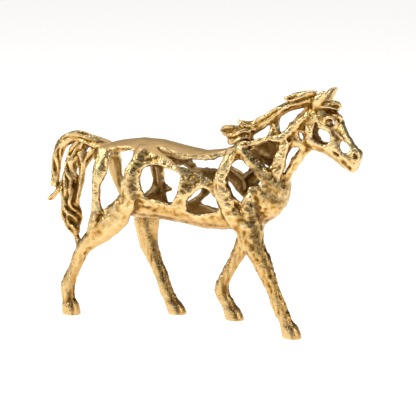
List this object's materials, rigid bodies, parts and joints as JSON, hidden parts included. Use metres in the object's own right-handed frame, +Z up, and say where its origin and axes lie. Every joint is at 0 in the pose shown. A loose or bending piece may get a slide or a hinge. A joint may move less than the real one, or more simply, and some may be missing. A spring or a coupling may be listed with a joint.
{
  "type": "horse sculpture",
  "caption": "Gilded openwork casting of a walking horse: a thin shell of body, neck and head pierced by rounded windows, standing on its hooves with its tail arched and mane blown back.",
  "frame": {"origin": "middle of the underside of the box around the horse, on the surface that the hooves stand on", "axes": "+X towards the head, along the length; +Y towards the horse's left side; +Z up"},
  "size_m": [0.4196, 0.085, 0.3082],
  "materials": {
    "gilding": "gold leaf, burnished on the high places and left dark in the hollows"
  },
  "bodies": {
    "root": {"horse": "gilding"}
  },
  "joints": []
}
